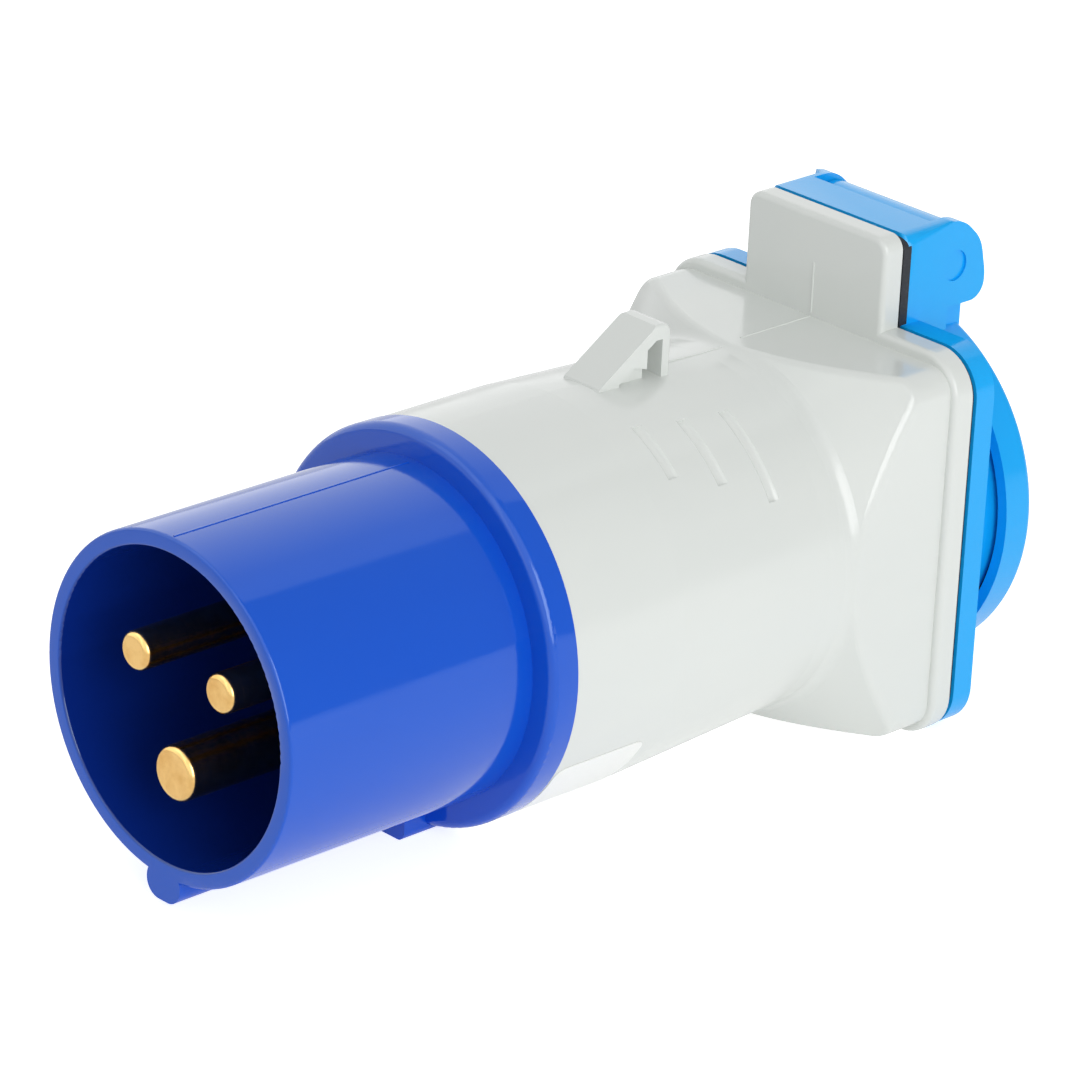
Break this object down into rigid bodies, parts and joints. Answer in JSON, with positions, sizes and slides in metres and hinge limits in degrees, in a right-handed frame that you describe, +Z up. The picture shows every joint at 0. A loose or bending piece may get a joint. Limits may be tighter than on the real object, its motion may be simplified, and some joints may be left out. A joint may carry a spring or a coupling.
{
  "type": "plug adapter",
  "caption": "Industrial pin plug joined by a moulded housing to a household flange socket under a spring-loaded lid.",
  "frame": {"origin": "middle of the overall bounding box's underside, level with the foot of the lug that it rests on", "axes": "+Y along the plug axis from the pins towards the socket's lid, +Z up towards the hinge, +X to the right seen from the pins"},
  "size_m": [0.051, 0.1246, 0.0642],
  "materials": {
    "plug_blue": "moulded, glossy",
    "housing_grey": "moulded, glossy",
    "flange_blue": "moulded, glossy",
    "carrier_black": "moulded",
    "insert_white": "moulded",
    "gasket_black": "matt",
    "seal_black": "matt",
    "pin_brass": "turned",
    "contact_brass": "pressed",
    "screw_steel": "zinc plated",
    "pin_steel": "ground",
    "spring_steel": "drawn",
    "wire_brown": "smooth",
    "wire_blue": "smooth",
    "wire_green": "smooth"
  },
  "bodies": {
    "housing": {"plug_front": "plug_blue", "pin_carrier": "carrier_black", "carrier_screw": "screw_steel", "live_pin": "pin_brass", "neutral_pin": "pin_brass", "earth_pin": "pin_brass", "pin_terminal_screws": "screw_steel", "plug_fixing_screws": "screw_steel", "flange_screws": "screw_steel", "centre_screw": "screw_steel", "contact_terminal_screws": "screw_steel", "housing": "housing_grey", "spigot_seal": "seal_black", "flange_gasket": "gasket_black", "socket_flange": "flange_blue", "socket_base": "insert_white", "live_contact": "contact_brass", "neutral_contact": "contact_brass", "earth_bracket": "contact_brass", "hinge_pin": "pin_steel", "lid_spring": "spring_steel", "live_wire": "wire_brown", "neutral_wire": "wire_blue", "earth_wire": "wire_green"},
    "lid": {"lid": "flange_blue", "lid_seal": "seal_black"}
  },
  "joints": [
    {"name": "lid_hinge", "type": "hinge", "parent": "housing", "child": "lid", "pos_m": [0, 0.0566, 0.0581], "axis": [1, 0, 0], "range_deg": [0, 150], "stiffness_Nm_per_rad": 0.008, "springref_deg": -68.75}
  ]
}
